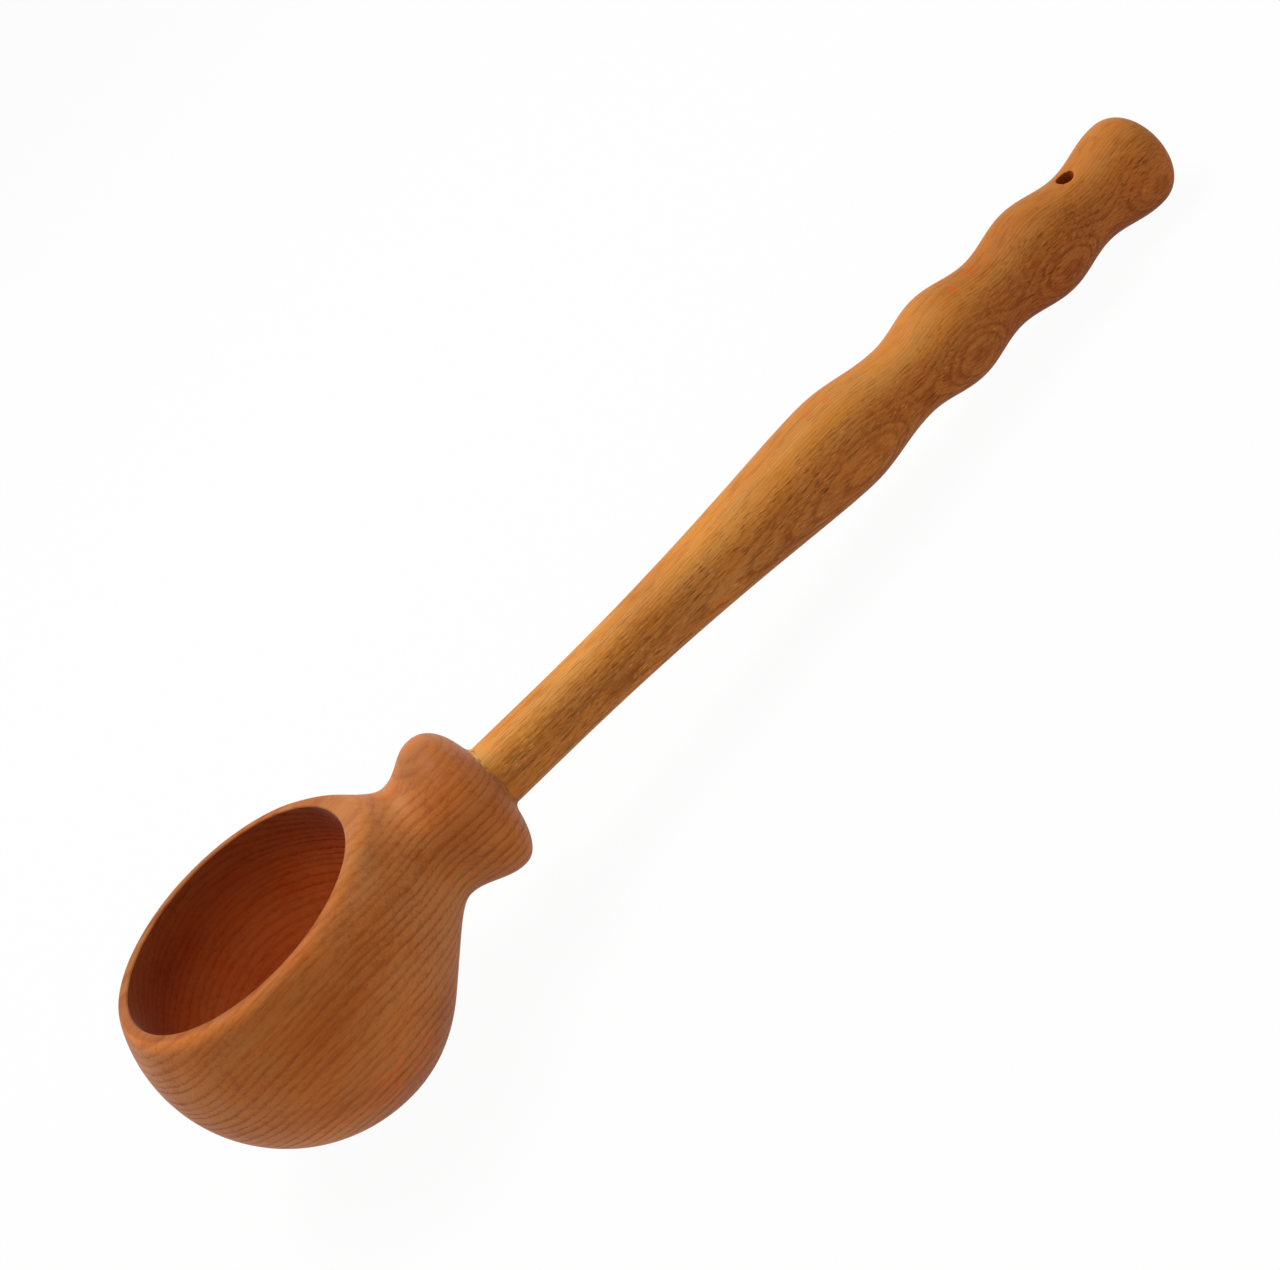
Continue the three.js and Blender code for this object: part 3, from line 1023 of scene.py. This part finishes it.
# %% Head wood
HEAD_LOOKS = {
    "Pith": (0, 0, 80),
    "Pith Way": (1, 0.15, -0.05),
    "Ring Spacing": 2.5,
    "Pale Wood": colour(203, 126, 63),
    "Deep Wood": colour(175, 93, 35),
    "Fibre Strength": head_fibres,
    "Line Wood": colour(108, 50, 16),
    "Line Strength": head_lines,
    "Dash Wood": colour(112, 54, 18),
    "Dash Strength": 0.25,
    "Speck Wood": colour(210, 150, 95),
    "Speck Strength": 0.15,
}
HEAD_SHEEN = 0.09
dress(head, beech_material("red beech", HEAD_LOOKS, head_stain_and_shade, HEAD_SHEEN))

# %% [markdown]
# The handle is golden at the foot and browner towards the end that the hand holds, and it is
# painted darker on its low side, away from the lamp, as shade. A few orange spots lie along the top,
# a smear of glue yellows the foot of the shaft, and the bore of the hang hole is painted dark as shade.

# %% Handle stains and painted shade
DOWN_WAY = (0, -0.48, -0.88)    # from the top of the handle to its figured low side, away from the lamp
SHADED_SIDE = (-5, 4)              # how far down the painted shade of that side begins and is full
# painted shade on the low side, away from the lamp
LOW_SIDE_SHADE_TINT = (0.9, 0.8, 0.86, 1)
HELD = (KNOB_END / MM, END_CREST_AT / MM)   # along the axis
HELD_TOP_TINT = (0.69, 0.58, 0.54, 1)
HELD_LOW_TINT = (0.81, 0.635, 0.55, 1)
SPOTS = [                       # middle and reach
    ((83.5, -2.8, 9.6), 4.5),
    ((214.5, -2.5, 15.5), 2),
    ((221, -2.8, 15.4), 2),
    ((270.7, -5.6, 13.3), 2.5),
    ((279, -3, 12.5), 3),
    ((284.5, -4.6, 13.2), 3),
]
SPOT_CORE = 0.5                 # distance within which a spot is full
SPOT_TINT = (1.25, 0.84, 0.6, 1)
BLOTCH_CELL = (2, 1.2)
BLOTCHES = (0.35, 0.6)
FOOT = (79.5, -1, 10)
SMEAR = (9, 2, 0, 0.5)          # distances from the foot, and the share of glue there
SMEARED_WOOD = colour(206, 156, 78)
BORE_BORDER = 0.25              # over which the bore's painted shade ends
BORE = (HOLE_RADIUS / MM + BORE_BORDER, HOLE_RADIUS / MM)
# painted shade in the bore of the hang hole
BORE_SHADE_WOOD = colour(165, 84, 34)


def handle_stain_and_shade(tree, place, wood):
    """The handle's colour with its stains, and painted shade on its low side and in the bore."""
    low = ramp(tree, dot(tree, place, DOWN_WAY), *SHADED_SIDE)
    held = ramp(tree, dot(tree, place, ALONG), *HELD)
    blotches = ramp(tree, noise(tree, place, BLOTCH_CELL), *BLOTCHES)
    # the low side gets painted shade
    tints = [(held, blend(tree, low, HELD_TOP_TINT, HELD_LOW_TINT)), (low, LOW_SIDE_SHADE_TINT)]
    for spot, reach in SPOTS:
        near = ramp(tree, distance_to(tree, place, spot), reach, SPOT_CORE)
        tints.append((product(tree, near, blotches), SPOT_TINT))
    wood = tinted(tree, wood, tints)
    smear = ramp(tree, distance_to(tree, place, FOOT), *SMEAR)
    wood = blend(tree, smear, wood, SMEARED_WOOD)
    # the bore is painted darker, as shade in the hole
    bore = ramp(tree, distance_to_line(tree, place, HOLE_AT / MM, drill_way), *BORE)
    return blend(tree, bore, wood, BORE_SHADE_WOOD)


# %% [markdown]
# The handle's growth rings are thin and almost flat: they stand so that they show as ovals low
# on each crest, and hardly show at the top. Fibres, dashes and specks get stronger downwards too.

# %% Handle wood
def downwards(*limits):
    """A look that changes from top to low side: measured from and to, and the strength at both."""
    def strength(tree, place):
        return ramp(tree, dot(tree, place, DOWN_WAY), *limits)
    return strength


HANDLE_LOOKS = {
    "Pith": (0, 290, 78),
    "Pith Way": (1, 0, 0),
    "Ring Spacing": 1.0,
    "Pale Wood": colour(218, 152, 70),
    "Deep Wood": colour(174, 105, 40),
    "Fibre Strength": downwards(-9, 1, 0.45, 2.0),
    "Line Wood": colour(126, 64, 18),
    "Line Strength": downwards(-2, 9, 0.05, 0.32),
    "Dash Wood": colour(112, 53, 16),
    "Dash Strength": downwards(-10, 0, 0.12, 0.85),
    "Speck Wood": colour(246, 202, 138),
    "Speck Strength": downwards(-6, 3, 0.15, 0.72),
}
HANDLE_SHEEN = 0.02
dress(handle, beech_material("golden beech", HANDLE_LOOKS, handle_stain_and_shade, HANDLE_SHEEN))

# %% [markdown]
# ## Dried glue
#
# Thin wood glue shows the wood through it, and where it lies thick it dries to a pale amber. A
# soft noise makes it cloudy.

# %% Glue material
THIN_GLUE = colour(188, 122, 66)
THICK_GLUE = colour(222, 176, 108)
THICK_REACH = (12, 3)           # distances from the foot over which the glue gets thick
CLOUD_CELL = (2, 2)
CLOUDS = (0.3, 0.7)
CLOUDED_GLUE = colour(172, 104, 52)
GLUE_ROUGHNESS = (0.5, 0.65)    # between the clouds and in them
GLUE_BUMP = 0.5
GLUE_DEPTH = 0.2 * MM


def glue_material():
    """Dried glue, paler at the foot of the shaft."""
    material = bare_material("dried glue")
    tree = material.node_tree
    place = lathe_place(tree)
    clouds = noise(tree, place, CLOUD_CELL, detail=3)
    plain = tint_between(tree, distance_to(tree, place, FOOT), THICK_REACH, THIN_GLUE, THICK_GLUE)
    relief = {"Height": clouds, "Strength": GLUE_BUMP, "Distance": GLUE_DEPTH}
    shader = add(tree, "ShaderNodeBsdfPrincipled", {
        "Base Color": tint_between(tree, clouds, CLOUDS, plain, CLOUDED_GLUE),
        "Roughness": ramp(tree, clouds, *CLOUDS, *GLUE_ROUGHNESS),
        "Specular IOR Level": DULL_SHINE,
        "Normal": add(tree, "ShaderNodeBump", relief).outputs[0],
    })
    add(tree, "ShaderNodeOutputMaterial", {"Surface": shader.outputs[0]})
    return material


dress(glue, glue_material())

# %% [markdown]
# ## Light and floor
#
# The photograph has soft light from above and slightly behind, and a white ground. A wide lamp
# hangs there, an even white world and the pale floor fill the rest, and the floor shows white to
# the camera while it still takes the shadow.

# %% White world and floor
WORLD_LIGHT = 0.4
FLOOR_SIZE = 30
FLOOR_TONE = 0.66
FLOOR_WHITE = 0.96              # share of plain white that the camera sees on the floor
WHITE = (1, 1, 1, 1)
SEEN_RAYS = ("Is Camera Ray", "Is Glossy Ray", "Is Transmission Ray")


def seen_directly(tree):
    """1 for what the camera sees straight or in a reflection, 0 for light on other surfaces."""
    path = add(tree, "ShaderNodeLightPath").outputs
    seen = 0.0
    for ray in SEEN_RAYS:
        seen = calculate(tree, "MAXIMUM", path[ray], seen)
    return seen


def white_world():
    """An even world: plain white to the camera, weaker as a light."""
    world = bpy.data.worlds.new("white studio")
    bpy.context.scene.world = world
    world.use_nodes = True
    tree = world.node_tree
    tree.nodes.clear()
    strength = ramp(tree, seen_directly(tree), 0, 1, WORLD_LIGHT, 1)
    background = add(tree, "ShaderNodeBackground", {"Color": WHITE, "Strength": strength})
    add(tree, "ShaderNodeOutputWorld", {"Surface": background.outputs[0]})


def white_floor():
    """A pale matt floor, mostly plain white to the camera."""
    half = FLOOR_SIZE / 2
    corners = [(-half, -half, 0), (half, -half, 0), (half, half, 0), (-half, half, 0)]
    mesh = bpy.data.meshes.new("floor")
    mesh.from_pydata(corners, [], [(0, 1, 2, 3)])
    floor = bpy.data.objects.new("floor", mesh)
    bpy.context.scene.collection.objects.link(floor)
    material = bare_material("white floor")
    tree = material.node_tree
    matt = add(tree, "ShaderNodeBsdfDiffuse", {"Color": (FLOOR_TONE, FLOOR_TONE, FLOOR_TONE, 1)})
    white = add(tree, "ShaderNodeEmission", {"Color": WHITE, "Strength": 1.0})
    share = product(tree, seen_directly(tree), FLOOR_WHITE)
    mixed = add(tree, "ShaderNodeMixShader", {0: share, 1: matt.outputs[0], 2: white.outputs[0]})
    add(tree, "ShaderNodeOutputMaterial", {"Surface": mixed.outputs[0]})
    mesh.materials.append(material)
    floor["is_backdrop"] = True


white_world()
white_floor()
bpy.context.scene.view_settings.view_transform = "Standard"
print("floor of", FLOOR_SIZE, "m in a world of strength", WORLD_LIGHT)

# %% [markdown]
# The lamp is a square window. A lamp shines along its own -Z, so its +Z is turned to the way
# that leads from the ladle to it.

# %% Key light
KEY_WAY = Vector((-0.05, 0.33, 0.94)).normalized()
KEY_DISTANCE = 1.4
KEY_SIZE = 0.7
KEY_POWER = 19.5


def key_light():
    """The window above and slightly behind the ladle."""
    lamp = bpy.data.lights.new("window", "AREA")
    lamp.shape = "SQUARE"
    lamp.size = KEY_SIZE
    lamp.energy = KEY_POWER
    light = bpy.data.objects.new("window", lamp)
    light.location = KEY_DISTANCE * KEY_WAY
    light.rotation_mode = "QUATERNION"
    light.rotation_quaternion = KEY_WAY.to_track_quat("Z", "Y")
    bpy.context.scene.collection.objects.link(light)


key_light()
print("window of", KEY_POWER, "W,", KEY_DISTANCE, "m away")

# %% [markdown]
# ## Bodies and solids
#
# Each mesh rides on the ladle's one body and takes the place of its imported solid, which is
# hidden. The table also lists the finish that the record gives it.

# %% Bodies, solids and finishes
for made, node, finish in [
    (head, "bowl_head", "head_wood"),
    (handle, "handle", "handle_wood"),
    (glue, "glue_film", "dried_glue"),
]:
    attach(made, "root")
    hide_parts(node)

sizes = {
    "cad": [list(corner) for corner in cad_box],
    "visual": [list(corner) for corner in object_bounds()],
}
for name, box in sizes.items():
    print(name, "box in mm", [[round(x / MM, 2) for x in corner] for corner in box])
